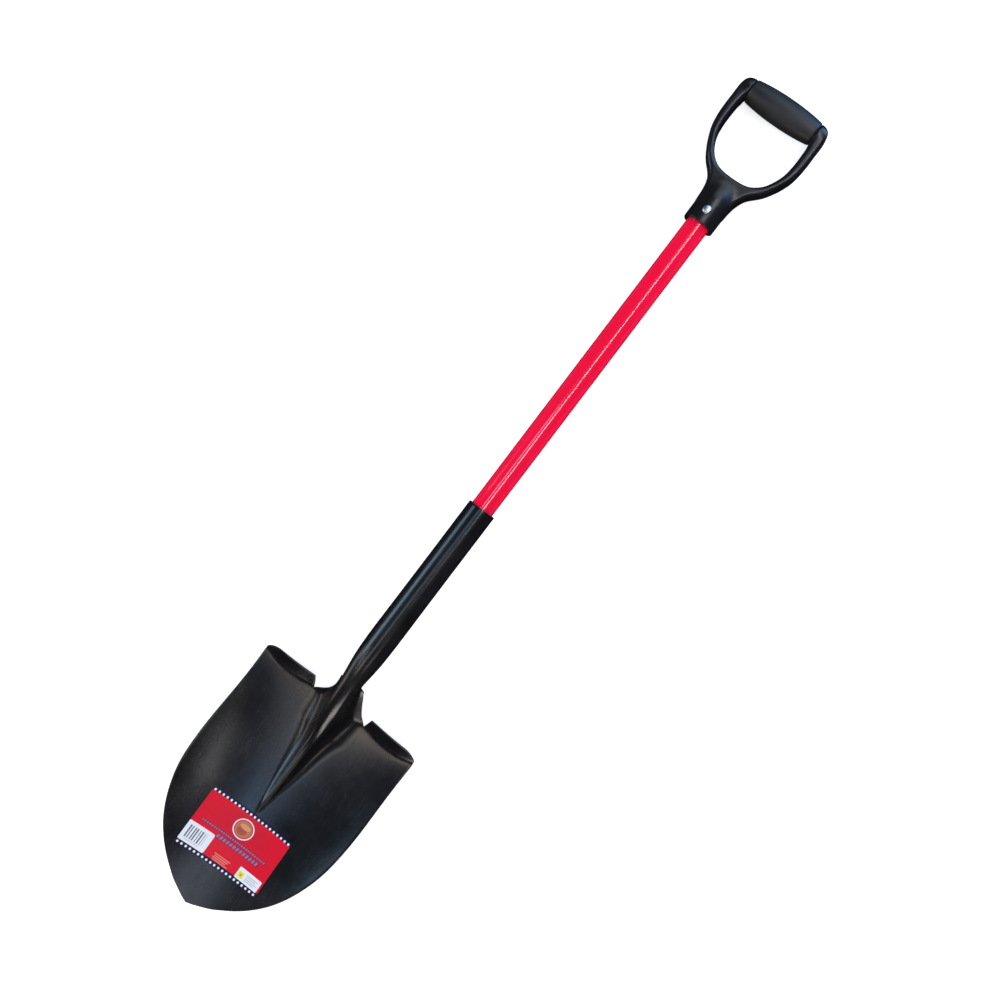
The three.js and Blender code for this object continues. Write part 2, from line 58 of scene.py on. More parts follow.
# ------------------------------------------------------------------------------------------------ curves
def spline(pairs):
    n = len(pairs)
    t, v = [p[0] for p in pairs], [p[1] for p in pairs]
    m, c, d = [0.0] * n, [0.0] * n, [0.0] * n
    for i in range(1, n - 1):
        h0, h1 = t[i] - t[i - 1], t[i + 1] - t[i]
        r = 6 * ((v[i + 1] - v[i]) / h1 - (v[i] - v[i - 1]) / h0)
        b = 2 * (h0 + h1) - h0 * c[i - 1]
        c[i] = h1 / b
        d[i] = (r - h0 * d[i - 1]) / b
    for i in range(n - 2, 0, -1):
        m[i] = d[i] - c[i] * m[i + 1]
    s0 = (v[1] - v[0]) / (t[1] - t[0]) - (t[1] - t[0]) * m[1] / 6
    s1 = (v[n - 1] - v[n - 2]) / (t[n - 1] - t[n - 2]) + (t[n - 1] - t[n - 2]) * m[n - 2] / 6

    def f(x):
        if x <= t[0]:
            return v[0] + s0 * (x - t[0])
        if x >= t[n - 1]:
            return v[n - 1] + s1 * (x - t[n - 1])
        i = 0
        while x > t[i + 1]:
            i += 1
        h = t[i + 1] - t[i]
        a, b = (t[i + 1] - x) / h, (x - t[i]) / h
        return a * v[i] + b * v[i + 1] + ((a ** 3 - a) * m[i] + (b ** 3 - b) * m[i + 1]) * h * h / 6

    return f


def lines(pairs):
    def f(x):
        if x <= pairs[0][0]:
            return pairs[0][1]
        for (t0, v0), (t1, v1) in zip(pairs, pairs[1:]):
            if x <= t1:
                return v0 + (v1 - v0) * (x - t0) / (t1 - t0)
        return pairs[-1][1]

    return f


def smooth(x):
    x = min(max(x, 0.0), 1.0)
    return x * x * (3 - 2 * x)


# ------------------------------------------------------------------------------------------------ the blade's shape, as the CAD part has it
TIP_Y, LAST_ROW_Y, JOIN_Y, STEP_TOP_Y, NOSE_X = -578.2, -575.6, -296.0, -281.0, 113.6
half_width = spline([
    (-576, 7.2), (-571.2, 18.6), (-566.5, 28.7), (-561.4, 36.9), (-556.3, 44.6), (-551.5, 51.3), (-546.6, 57.4),
    (-541.7, 62.9), (-536.8, 67.8), (-532, 72.2), (-522.6, 79.8), (-513, 86.2), (-503.5, 91.5), (-494.2, 95.9),
    (-489.7, 97.8), (-478.5, 102.0), (-467, 105.6), (-456, 108.3), (-445.6, 110.2), (-435, 111.5), (-413, 113.1),
    (-391, 113.5), (-358, 113.0), (-323, 112.9), (-300, 113.4), (-290, 113.6),
])
floor_line = spline([
    (-579, -11.6), (-560, -15.6), (-540, -20.0), (-520, -24.5), (-500, -29.2), (-480, -34.0), (-460, -38.8),
    (-440, -43.6), (-420, -48.0), (-400, -51.8), (-380, -54.8), (-360, -56.6), (-340, -57.2), (-320, -56.6),
    (-300, -55.2), (-280, -53.6),
])
dishing = spline([
    (-579, 0.00142), (-560, 0.00150), (-540, 0.00162), (-520, 0.00176), (-500, 0.00188), (-480, 0.00192), (-460, 0.00188),
    (-440, 0.00176), (-420, 0.00164), (-400, 0.00154), (-370, 0.00138), (-340, 0.00112), (-315, 0.00082), (-296, 0.00066),
    (-270, 0.00060),
])
bend_line = spline([
    (0, -297), (20, -296), (33, -293.5), (45, -293), (60, -295.5), (75, -296.5), (90, -295.5), (102, -292.8), (116, -288),
])
step_top = lines([(95, STEP_TOP_Y), (99, -281.6), (103, -282.8), (107, -284.6), (110.5, -286.9), (113.6, -290)])


def face_at(y):
    """The blade's face as a function of x, at one y."""
    floor_z, dish = floor_line(y), dishing(y)

    def f(x):
        ax = abs(x)
        q = ax / 113
        d = y - bend_line(ax)
        slope = 0.85 + 0.3 * smooth((ax - 28) / 20)
        return floor_z + dish * ax * ax * (0.82 + 0.18 * q * q) + slope * (math.sqrt(d * d + 18) + d) / 2

    return f


crest = spline([
    (-470, -36.4), (-458, -39.2), (-448, -41.0), (-436, -42.5), (-420, -43.4), (-400, -43.4), (-380, -42.8), (-360, -41.2),
    (-340, -36.6), (-320, -27.6), (-300, -15.0), (-280, -4.2), (-262, 3.6), (-245, 9.6), (-225, 14.0), (-205, 16.1),
    (-190, 16.6), (-150, 16.6), (0, 16.6),
])
crest_r = spline([
    (-450, 4.2), (-420, 4.2), (-400, 4.3), (-380, 4.6), (-360, 5.4), (-340, 6.8), (-320, 8.8), (-300, 10.6), (-280, 11.4),
    (-262, 11.9), (-254, 12.3), (-246, 12.9), (-238, 13.8), (-229, 14.8), (-217, 15.8), (-206, 16.3), (-190, 16.6),
    (-150, 16.6), (0, 16.6),
])
side_angle = spline([
    (-470, 4), (-450, 10), (-436, 26), (-420, 42), (-400, 54), (-380, 61), (-360, 66), (-340, 69), (-320, 71), (-300, 71),
    (-280, 78), (-262, 92), (-245, 118), (-225, 150), (-210, 170), (-195, 176), (-150, 176), (0, 176),
])
sheet_half = spline([
    (-300, 66), (-296, 62.5), (-288, 51.5), (-281, 43.2), (-274, 37.0), (-266, 32.6), (-256, 31.4), (-246, 33.4),
    (-236, 37.6), (-226, 42.4), (-216, 46.4), (-206, 48.9), (-195, 49.8), (-150, 49.8), (0, 49.8),
])
# extra width of the sheet beside the neck, on the right
neck_lobe = lines([(-296, 0), (-288, 3.2), (-281, 6.4), (-274, 8.0), (-266, 7.4), (-258, 3.2), (-252, 0)])
inner_x = lines([(-579, 2.5), (-560, 12), (-540, 18), (-500, 22), (-440, 27), (-400, 34), (-380, 37), (-330, 41), (JOIN_Y, 39)])


def section(y):
    """Right half of the sheet's middle line at y, from the crest outwards."""
    f = face_at(y)
    r, top, b = crest_r(y), crest(y), side_angle(y) * RAD
    if y < -469 or top - floor_line(y) < 0.05:
        return [(x, f(x)) for x in np.arange(0, 90.1, 0.75)]
    pts = [(r * math.sin(b * i / 60), top - r * (1 - math.cos(b * i / 60))) for i in range(61)]
    xa, wa = pts[-1]
    dx, dz = math.cos(b), -math.sin(b)
    length = 80.0
    if b < 100 * RAD and y < -250:
        length = 0.0
        while length < 80 and wa + dz * length > f(xa + dx * length):
            length += 0.5
        if length < 80:
            lo, hi = max(length - 0.5, 0.0), length
            for _ in range(30):
                m = (lo + hi) / 2
                if wa + dz * m > f(xa + dx * m):
                    lo = m
                else:
                    hi = m
            length = hi
    if length >= 79:
        return pts + [(xa + dx * i, wa + dz * i) for i in range(1, 81)]
    cx, cz = xa + dx * length, wa + dz * length
    k = smooth((y + 442) / 40) * smooth((-304 - y) / 26)
    l1 = min(0.75 * length, 11 + 4 * k)
    l2 = min(min(max(0.6 * (top - cz), 2), 17) * (1 + 0.65 * k), max(min(inner_x(y), 0.34 * half_width(y)) - cx - 1, 2))
    p0 = (xa + dx * (length - l1), wa + dz * (length - l1))
    p2 = (cx + l2, f(cx + l2))
    pts += [(xa + dx * (length - l1) * i / 8, wa + dz * (length - l1) * i / 8) for i in range(1, 9)]
    for i in range(1, 37):
        t = i / 36
        u = 1 - t
        pts.append((u * u * p0[0] + 2 * u * t * cx + t * t * p2[0], u * u * p0[1] + 2 * u * t * cz + t * t * p2[1]))
    pts += [(x, f(x)) for x in np.arange(p2[0] + 0.75, 90, 0.75)]
    return pts


def spread(pts, n, length, x_end=None):
    """n + 1 points along the first part of a section, up to a length or up to an x."""
    p = np.array(pts)
    s = np.concatenate([[0], np.cumsum(np.hypot(*np.diff(p, axis=0).T))])
    if x_end is not None:
        i = 1
        while p[i, 0] < x_end:
            i += 1
        g = (x_end - p[i - 1, 0]) / (p[i, 0] - p[i - 1, 0])
        length = s[i - 1] + g * (s[i] - s[i - 1])
    want = np.linspace(0, length, n + 1)
    return np.stack([np.interp(want, s, p[:, 0]), np.interp(want, s, p[:, 1])], 1)


# ------------------------------------------------------------------------------------------------ mesh helpers
def sheet_solid(verts, faces, half, rim=6, inset=0.55):
    """A closed sheet 2*half thick around a middle surface of quads and triangles, with rounded edges.
    Returns vertices, faces and each vertex's distance class: 1 on the rim, 0.75 on the sheet's border points, 0
    elsewhere."""
    V = np.array(verts, float)
    N = np.zeros_like(V)
    for f in faces:
        for i in range(1, len(f) - 1):
            a, b, c = V[f[0]], V[f[i]], V[f[i + 1]]
            n = np.cross(b - a, c - a)
            N[f[0]] += n
            N[f[i]] += n
            N[f[i + 1]] += n
    N /= np.linalg.norm(N, axis=1, keepdims=True)
    edges = {}
    for f in faces:
        for i in range(len(f)):
            edges[(f[i], f[(i + 1) % len(f)])] = True
    border = {a: b for (a, b) in edges if (b, a) not in edges}
    # walk the border loops and push each border point in, along the sheet, by the inset
    out = {}
    prev = {b: a for a, b in border.items()}
    for a, b in border.items():
        p = prev[a]
        d0, d1 = V[a] - V[p], V[b] - V[a]
        d = d0 / np.linalg.norm(d0) + d1 / np.linalg.norm(d1)
        o = np.cross(d, N[a])
        out[a] = o / np.linalg.norm(o)
    M = V.copy()
    for a, o in out.items():
        M[a] = V[a] - o * inset
    n = len(V)
    pos = [M + N * half, M - N * half]
    F = [tuple(f) for f in faces] + [tuple(n + i for i in reversed(f)) for f in faces]
    ring = {}
    extra = []
    base = 2 * n
    for a, o in out.items():
        ids = [a]
        for k in range(1, rim):
            th = math.pi / 2 - math.pi * k / rim
            c, s = math.cos(th), math.sin(th)
            z = half * math.copysign(abs(s) ** 0.7, s)
            e = inset * abs(c) ** 0.7
            ids.append(base + len(extra))
            extra.append(M[a] + N[a] * z + o * e)
        ids.append(n + a)
        ring[a] = ids
    for a, b in border.items():
        ra, rb = ring[a], ring[b]
        for k in range(rim):
            F.append((ra[k], ra[k + 1], rb[k + 1], rb[k]))
    P = np.concatenate(pos + [np.array(extra)])
    mask = np.zeros(len(P))
    mask[base:] = 1
    for a in out:
        mask[a] = mask[n + a] = 0.75
    return P, F, mask


def turned(profile, sides=96, closed=False):
    """Solid of revolution about Z from (radius, z) points, from the axis to the axis or, closed, as a ring."""
    verts, faces, rings = [], [], []
    for r, z in profile:
        if r < 1e-9:
            rings.append([len(verts)])
            verts.append((0, 0, z))
        else:
            rings.append([len(verts) + i for i in range(sides)])
            verts += [(r * math.cos(2 * math.pi * i / sides), r * math.sin(2 * math.pi * i / sides), z) for i in range(sides)]
    pairs = list(zip(rings, rings[1:]))
    if closed:
        pairs.append((rings[-1], rings[0]))
    for a, b in pairs:
        for i in range(sides):
            j = (i + 1) % sides
            if len(a) == 1 and len(b) == 1:
                continue
            if len(a) == 1:
                faces.append((a[0], b[j], b[i]))
            elif len(b) == 1:
                faces.append((a[i], a[j], b[0]))
            else:
                faces.append((a[i], a[j], b[j], b[i]))
    return np.array(verts, float), faces


def along_x(v):
    return np.stack([v[:, 2], v[:, 0], v[:, 1]], 1)


def along_y(v):
    return np.stack([v[:, 1], v[:, 2], v[:, 0]], 1)


def rounded(points, radii, steps=5):
    """A polyline with its corners rounded. points are (r, z), radii one number for each corner, 0 for none."""
    out = []
    n = len(points)
    for i, p in enumerate(points):
        if i in (0, n - 1) or radii[i] <= 0:
            out.append(tuple(p))
            continue
        a, b, c = np.array(points[i - 1], float), np.array(p, float), np.array(points[i + 1], float)
        u, v = (a - b) / np.linalg.norm(a - b), (c - b) / np.linalg.norm(c - b)
        ang = math.acos(max(-1, min(1, float(u @ v))))
        if ang > math.pi - 1e-3:
            out.append(tuple(p))
            continue
        d = min(radii[i] / math.tan(ang / 2), 0.49 * np.linalg.norm(a - b), 0.49 * np.linalg.norm(c - b))
        p0, p2 = b + u * d, b + v * d
        for k in range(steps + 1):
            t = k / steps
            q = (1 - t) ** 2 * p0 + 2 * t * (1 - t) * b + t * t * p2
            out.append((float(q[0]), float(q[1])))
    return out


def new_piece(name, verts, faces, material, nodes, angle=40, outward=True, place=True):
    me = bpy.data.meshes.new(name)
    P = laid(verts) if place else np.asarray(verts, float)
    me.from_pydata([tuple(p) for p in P], [], [tuple(int(i) for i in f) for f in faces])
    me.validate()
    me.update()
    if outward:
        import bmesh
        bm = bmesh.new()
        bm.from_mesh(me)
        bmesh.ops.recalc_face_normals(bm, faces=bm.faces)
        bm.to_mesh(me)
        bm.free()
    me.polygons.foreach_set("use_smooth", [True] * len(me.polygons))
    if angle:
        me.set_sharp_from_angle(angle=math.radians(angle))
    me.materials.append(material)
    me.update()
    ob = bpy.data.objects.new(name, me)
    bpy.context.scene.collection.objects.link(ob)
    if nodes:
        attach(ob, "root")
        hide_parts(*nodes)
    return ob


def attribute(ob, name, values):
    a = ob.data.attributes.new(name, "FLOAT", "POINT")
    a.data.foreach_set("value", np.asarray(values, np.float32))


def drill(ob, cutters):
    """Cuts the holes in a mesh, and throws the cutters away."""
    for i, c in enumerate(cutters):
        m = ob.modifiers.new(f"hole{i}", "BOOLEAN")
        m.operation, m.solver, m.object = "DIFFERENCE", "EXACT", c
    dg = bpy.context.evaluated_depsgraph_get()
    me = bpy.data.meshes.new_from_object(ob.evaluated_get(dg))
    me.name = ob.name
    old = ob.data
    ob.modifiers.clear()
    ob.data = me
    bpy.data.meshes.remove(old)
    me.polygons.foreach_set("use_smooth", [True] * len(me.polygons))
    me.set_sharp_from_angle(angle=math.radians(40))
    for c in cutters:
        data = c.data
        bpy.data.objects.remove(c)
        bpy.data.meshes.remove(data)


GRIP_RIVET_Y = 427


def cutter(r, z0, z1, y, sides=40):
    v, f = turned([(0, z0), (r, z0), (r, z1), (0, z1)], sides)
    v[:, 1] += y
    me = bpy.data.meshes.new("cutter")
    me.from_pydata([tuple(p) for p in laid(v)], [], f)
    me.update()
    ob = bpy.data.objects.new("cutter", me)
    bpy.context.scene.collection.objects.link(ob)
    return ob


# ------------------------------------------------------------------------------------------------ materials
class Nodes:
    def __init__(self, name):
        self.m = bpy.data.materials.new(name)
        self.m.use_nodes = True
        self.t = self.m.node_tree
        self.t.nodes.clear()
        self.out = self.t.nodes.new("ShaderNodeOutputMaterial")
        self.b = self.t.nodes.new("ShaderNodeBsdfPrincipled")
        self.t.links.new(self.b.outputs[0], self.out.inputs[0])

    def add(self, kind, **kw):
        n = self.t.nodes.new(kind)
        for k, v in kw.items():
            setattr(n, k, v)
        return n

    def link(self, a, b):
        self.t.links.new(a, b)

    def put(self, socket, value):
        if isinstance(value, bpy.types.NodeSocket):
            self.t.links.new(value, socket)
        else:
            socket.default_value = value

    def math(self, op, a, b=None, c=None, clamp=False):
        n = self.add("ShaderNodeMath", operation=op, use_clamp=clamp)
        self.put(n.inputs[0], a)
        if b is not None:
            self.put(n.inputs[1], b)
        if c is not None:
            self.put(n.inputs[2], c)
        return n.outputs[0]

    def coords(self, scale=(1, 1, 1)):
        g = self.add("ShaderNodeTexCoord")
        mp = self.add("ShaderNodeMapping")
        mp.inputs["Scale"].default_value = scale
        self.link(g.outputs["Object"], mp.inputs["Vector"])
        return mp.outputs[0]

    def noise(self, vector, scale, detail=4.0, rough=0.55, distortion=0.0):
        n = self.add("ShaderNodeTexNoise")
        self.link(vector, n.inputs["Vector"])
        n.inputs["Scale"].default_value = scale
        n.inputs["Detail"].default_value = detail
        n.inputs["Roughness"].default_value = rough
        n.inputs["Distortion"].default_value = distortion
        return n.outputs["Fac"]

    def voronoi(self, vector, scale, feature="F1"):
        n = self.add("ShaderNodeTexVoronoi", feature=feature)
        self.link(vector, n.inputs["Vector"])
        n.inputs["Scale"].default_value = scale
        return n.outputs["Distance"]

    def ramp(self, fac, stops):
        n = self.add("ShaderNodeValToRGB")
        self.link(fac, n.inputs[0])
        e = n.color_ramp.elements
        while len(e) < len(stops):
            e.new(0.5)
        for k, (p, c) in zip(e, stops):
            k.position = p
            k.color = c if len(c) == 4 else (*c, 1)
        return n.outputs[0]

    def level(self, fac, lo, hi, a=0.0, b=1.0):
        n = self.add("ShaderNodeMapRange", clamp=True)
        self.link(fac, n.inputs["Value"])
        for k, v in zip(("From Min", "From Max", "To Min", "To Max"), (lo, hi, a, b)):
            n.inputs[k].default_value = v
        return n.outputs[0]

    def mix(self, fac, a, b):
        n = self.add("ShaderNodeMix", data_type="RGBA")
        self.put(n.inputs[0], fac)
        for s, v in ((n.inputs[6], a), (n.inputs[7], b)):
            if isinstance(v, bpy.types.NodeSocket):
                self.link(v, s)
            else:
                s.default_value = v if len(v) == 4 else (*v, 1)
        return n.outputs[2]

    def bump(self, height, strength, distance, normal=None):
        n = self.add("ShaderNodeBump")
        n.inputs["Strength"].default_value = strength
        n.inputs["Distance"].default_value = distance
        self.link(height, n.inputs["Height"])
        if normal is not None:
            self.link(normal, n.inputs["Normal"])
        return n.outputs[0]

    def attr(self, name):
        return self.add("ShaderNodeAttribute", attribute_name=name).outputs["Fac"]


def powder_coat(name, tint=(0.0060, 0.0058, 0.0068), rough=(0.21, 0.28), edge=True):
    """Black powder coat on steel: fine orange peel, a little unevenness in the gloss, rubbed edges whose lighter colour
    is partly a painted edge highlight.
    """
    n = Nodes(name)
    v = n.coords()
    peel = n.noise(v, 900, 2.0, 0.5)
    cloud = n.noise(v, 26, 5.0, 0.6)
    streak = n.noise(n.coords((60, 7, 60)), 4.0, 6.0, 0.65)
    specks = n.level(n.voronoi(v, 520), 0.0, 0.16, 1.0, 0.0)
    base = n.mix(n.level(cloud, 0.35, 0.7), tint, tuple(c * 1.55 + 0.0008 for c in tint))
    base = n.mix(n.math("MULTIPLY", specks, n.level(cloud, 0.5, 0.75, 0.0, 0.03)), base, (0.03, 0.028, 0.028))
    r = n.math("ADD", n.level(cloud, 0.3, 0.75, rough[0], rough[1]), n.level(streak, 0.45, 0.8, 0.0, 0.06))
    if edge:
        # the sheet's rim is painted lighter: partly rubbed paint, partly a painted highlight along the free edges
        e = n.attr("edge")
        rubbed_edge_and_painted_highlight = n.math("MULTIPLY", n.level(n.math("ADD", e, n.level(n.noise(v, 240, 4.0, 0.7), 0.3, 0.8, -0.35, 0.35)), 0.75, 1.15), 0.5)
        base = n.mix(rubbed_edge_and_painted_highlight, base, (0.062, 0.057, 0.055))
        r = n.math("ADD", r, n.math("MULTIPLY", rubbed_edge_and_painted_highlight, 0.25))
    n.put(n.b.inputs["Base Color"], base)
    n.put(n.b.inputs["Roughness"], r)
    n.b.inputs["IOR"].default_value = 1.5
    n.b.inputs["Metallic"].default_value = 0.0
    rows = n.bump(n.noise(v, 210, 3.0, 0.5), 0.05, 0.0004)
    n.put(n.b.inputs["Normal"], n.bump(peel, 0.09, 0.00018, rows))
    return n.m


def moulded_plastic(name):
    """Black polypropylene: satin, with a very fine moulded grain and faint flow marks."""
    n = Nodes(name)
    v = n.coords()
    cloud = n.noise(v, 34, 4.0, 0.55)
    flow = n.noise(n.coords((30, 8, 30)), 3.2, 5.0, 0.6, 0.6)
    base = n.mix(n.level(cloud, 0.3, 0.75), (0.0060, 0.0060, 0.0072), (0.0095, 0.0093, 0.0102))
    scuff = n.level(n.noise(n.coords((260, 40, 90)), 5.0, 7.0, 0.7), 0.66, 0.74)
    base = n.mix(n.math("MULTIPLY", scuff, 0.35), base, (0.035, 0.034, 0.034))
    n.put(n.b.inputs["Base Color"], base)
    r = n.math("ADD", n.level(flow, 0.3, 0.75, 0.27, 0.37), n.math("MULTIPLY", scuff, 0.16))
    n.put(n.b.inputs["Roughness"], r)
    n.b.inputs["IOR"].default_value = 1.49
    n.put(n.b.inputs["Normal"], n.bump(n.noise(v, 1500, 2.0, 0.5), 0.10, 0.0001, n.bump(n.noise(v, 160, 2.0, 0.5), 0.10, 0.0003)))
    return n.m


def soft_rubber(name):
    """Black soft-touch sleeve: matt, with a fine stipple and polished-down high spots."""
    n = Nodes(name)
    v = n.coords()
    cloud = n.noise(v, 42, 5.0, 0.6)
    stipple = n.voronoi(v, 1100)
    dust = n.level(n.noise(v, 420, 6.0, 0.75), 0.56, 0.70)
    base = n.mix(n.level(cloud, 0.3, 0.7), (0.0075, 0.0070, 0.0068), (0.0120, 0.0110, 0.0105))
    base = n.mix(n.math("MULTIPLY", dust, 0.12), base, (0.05, 0.046, 0.042))
    n.put(n.b.inputs["Base Color"], base)
    n.put(n.b.inputs["Roughness"], n.level(cloud, 0.3, 0.75, 0.42, 0.54))
    n.b.inputs["IOR"].default_value = 1.5
    n.b.inputs["Sheen Weight"].default_value = 0.03
    n.b.inputs["Sheen Roughness"].default_value = 0.5
    n.put(n.b.inputs["Normal"], n.bump(stipple, 0.30, 0.00025))
    return n.m


def fibreglass(name):
    """Red pultruded fibreglass: rovings running along the rod under a glossy resin skin."""
    n = Nodes(name)
    fine = n.noise(n.coords((900, 9, 900)), 1.0, 6.0, 0.7)
    broad = n.noise(n.coords((150, 3.2, 150)), 1.0, 4.0, 0.6)
    blot = n.noise(n.coords(), 16, 4.0, 0.6)
    base = n.mix(n.level(fine, 0.3, 0.75), (0.93, 0.0030, 0.040), (0.98, 0.0055, 0.058))
    base = n.mix(n.level(broad, 0.40, 0.72, 0.0, 0.45), base, (0.87, 0.0024, 0.034))
    base = n.mix(n.level(blot, 0.45, 0.8, 0.0, 0.22), base, (0.99, 0.0085, 0.072))
    n.put(n.b.inputs["Base Color"], base)
    n.put(n.b.inputs["Roughness"], n.level(broad, 0.3, 0.7, 0.14, 0.22))
    n.b.inputs["IOR"].default_value = 1.52
    n.b.inputs["Coat Weight"].default_value = 0.9
    n.b.inputs["Coat Roughness"].default_value = 0.05
    n.put(n.b.inputs["Normal"], n.bump(fine, 0.10, 0.00010, n.bump(broad, 0.08, 0.0003)))
    return n.m


def plated_steel(name):
    """Bright zinc plate: fine turning rings round the head, small pits, slight blue-grey cast."""
    n = Nodes(name)
    v = n.coords()
    rings = n.noise(n.coords((300, 300, 3000)), 1.0, 4.0, 0.6)
    pits = n.level(n.voronoi(v, 1400), 0.0, 0.22, 1.0, 0.0)
    cloud = n.noise(v, 330, 5.0, 0.6)
    base = n.mix(n.level(cloud, 0.3, 0.7), (0.62, 0.64, 0.67), (0.80, 0.81, 0.83))
    base = n.mix(n.math("MULTIPLY", pits, 0.35), base, (0.30, 0.30, 0.31))
    n.put(n.b.inputs["Base Color"], base)
    n.b.inputs["Metallic"].default_value = 1.0
    n.put(n.b.inputs["Roughness"], n.level(cloud, 0.3, 0.75, 0.24, 0.42))
    n.put(n.b.inputs["Normal"], n.bump(rings, 0.15, 0.0001, n.bump(cloud, 0.2, 0.0002)))
    return n.m


def wood(name):
    """Pale straight-grained wood for the core plugs."""
    n = Nodes(name)
    v = n.coords((220, 9, 220))
    grain = n.noise(v, 1.0, 6.0, 0.65, 0.5)
    w = n.add("ShaderNodeTexWave", wave_type="RINGS", rings_direction="Y", wave_profile="SAW")
    n.link(n.coords((1, 0.05, 1)), w.inputs["Vector"])
    w.inputs["Scale"].default_value = 210
    w.inputs["Distortion"].default_value = 2.5
    w.inputs["Detail"].default_value = 3
    base = n.ramp(grain, [(0.25, (0.26, 0.145, 0.065)), (0.55, (0.44, 0.27, 0.13)), (0.8, (0.55, 0.36, 0.19))])
    base = n.mix(n.level(w.outputs["Fac"], 0.2, 0.9, 0.0, 0.5), base, (0.24, 0.125, 0.055))
    n.put(n.b.inputs["Base Color"], base)
    n.put(n.b.inputs["Roughness"], n.level(grain, 0.3, 0.8, 0.62, 0.8))
    n.put(n.b.inputs["Normal"], n.bump(grain, 0.35, 0.0004))
    return n.m


def label_print(name):
    """Printed vinyl in a plain red, white and blue layout: dotted bands, two white panels with bars, rules and a round device.
    Nothing on it is lettering or a mark."""
    n = Nodes(name)
    uv = n.add("ShaderNodeUVMap", uv_map="print")
    sep = n.add("ShaderNodeSeparateXYZ")
    n.link(uv.outputs[0], sep.inputs[0])
    x, y = sep.outputs[0], sep.outputs[1]            # millimetres: x across from the middle, y down from the top edge

    def step(a, edge, width=0.12):                   # 0 below edge, 1 above
        return n.level(a, edge - width, edge + width)

    def band(a, lo, hi, w=0.12):
        return n.math("MULTIPLY", step(a, lo, w), n.math("SUBTRACT", 1.0, step(a, hi, w)))

    def box(x0, x1, y0, y1):
        return n.math("MULTIPLY", band(x, x0, x1), band(y, y0, y1))

    def panel(x0, x1, y0, y1, r=1.8):
        cx, cy, hx, hy = (x0 + x1) / 2, (y0 + y1) / 2, (x1 - x0) / 2 - r, (y1 - y0) / 2 - r
        qx = n.math("MAXIMUM", n.math("SUBTRACT", n.math("ABSOLUTE", n.math("SUBTRACT", x, cx)), hx), 0.0)
        qy = n.math("MAXIMUM", n.math("SUBTRACT", n.math("ABSOLUTE", n.math("SUBTRACT", y, cy)), hy), 0.0)
        d = n.math("SQRT", n.math("ADD", n.math("MULTIPLY", qx, qx), n.math("MULTIPLY", qy, qy)))
        return n.math("SUBTRACT", 1.0, step(d, r))

    def disc(cx, cy, rx, ry):
        ax = n.math("DIVIDE", n.math("SUBTRACT", x, cx), rx)
        ay = n.math("DIVIDE", n.math("SUBTRACT", y, cy), ry)
        d = n.math("SQRT", n.math("ADD", n.math("MULTIPLY", ax, ax), n.math("MULTIPLY", ay, ay)))
        return n.math("SUBTRACT", 1.0, step(d, 1.0, 0.02))

    def repeat(a, pitch, offset=0.0):                # distance from the nearest multiple of the pitch
        m = n.math("PINGPONG", n.math("ADD", a, offset), pitch / 2)
        return m

    white, blue, red = (0.84, 0.84, 0.86), (0.014, 0.008, 0.040), (0.72, 0.0030, 0.020)
    dark_red, tan, ink = (0.40, 0.004, 0.012), (0.60, 0.155, 0.075), (0.030, 0.028, 0.050)
    v = n.coords()
    fleck = n.noise(v, 1300, 3.0, 0.6)
    base = n.mix(n.level(fleck, 0.3, 0.7), red, (0.78, 0.0055, 0.028))
    W = 57.5
    # a soft darker glow round the round device
    glow = n.math("SUBTRACT", 1.0, n.level(n.math("SQRT", n.math("ADD", n.math("MULTIPLY", n.math("MULTIPLY", x, x), 0.35), n.math("MULTIPLY", n.math("SUBTRACT", y, 24), n.math("SUBTRACT", y, 24)))), 12.0, 26.0))
    base = n.mix(n.math("MULTIPLY", glow, 0.25), base, dark_red)
    # dotted dark bands along the top and bottom edges
    for y0, y1, yd in ((0.0, 4.5, 3.0), (69.3, 75.0, 71.8)):
        base = n.mix(band(y, y0 - 1, y1), base, blue)
        dx = repeat(x, 5.74, 54.8)
        dy = n.math("SUBTRACT", y, yd)
        d = n.math("SQRT", n.math("ADD", n.math("MULTIPLY", dx, dx), n.math("MULTIPLY", dy, dy)))
        base = n.mix(n.math("SUBTRACT", 1.0, step(d, 1.42, 0.15)), base, white)
    # broken bars standing for two lines of print
    for x0, x1, y0, y1, pitch in ((-47, 45.6, 35.6, 39.0, 3.3), (-22, 39.5, 40.6, 46.2, 4.7)):
        dash = n.level(repeat(n.math("ADD", x, n.math("MULTIPLY", y, 0.3)), pitch), pitch * 0.14, pitch * 0.2)
        base = n.mix(n.math("MULTIPLY", box(x0, x1, y0, y1), 0.75), base, (0.16, 0.010, 0.050))
        base = n.mix(n.math("MULTIPLY", n.math("MULTIPLY", box(x0 + 0.6, x1 - 0.6, y0 + 0.7, y1 - 0.7), dash), 0.8), base, (0.36, 0.20, 0.36))
    for k in range(4):
        base = n.mix(box(-11.5 + 1.5 * (k % 2), 11.0 - 2.0 * (k % 3), 59.6 + 2.3 * k, 60.8 + 2.3 * k), base, (0.78, 0.22, 0.16))
    # the round device: a plain disc with a rim and a leaf-shaped inset
    base = n.mix(disc(0.2, 21.4, 13.4, 11.8), base, white)
    base = n.mix(disc(0.2, 21.4, 12.0, 10.5), base, dark_red)
    base = n.mix(disc(0.2, 21.4, 11.0, 9.6), base, tan)
    base = n.mix(disc(-1.0, 23.8, 6.4, 4.6), base, (0.42, 0.085, 0.045))
    base = n.mix(disc(1.0, 18.4, 7.0, 3.0), base, (0.70, 0.30, 0.15))
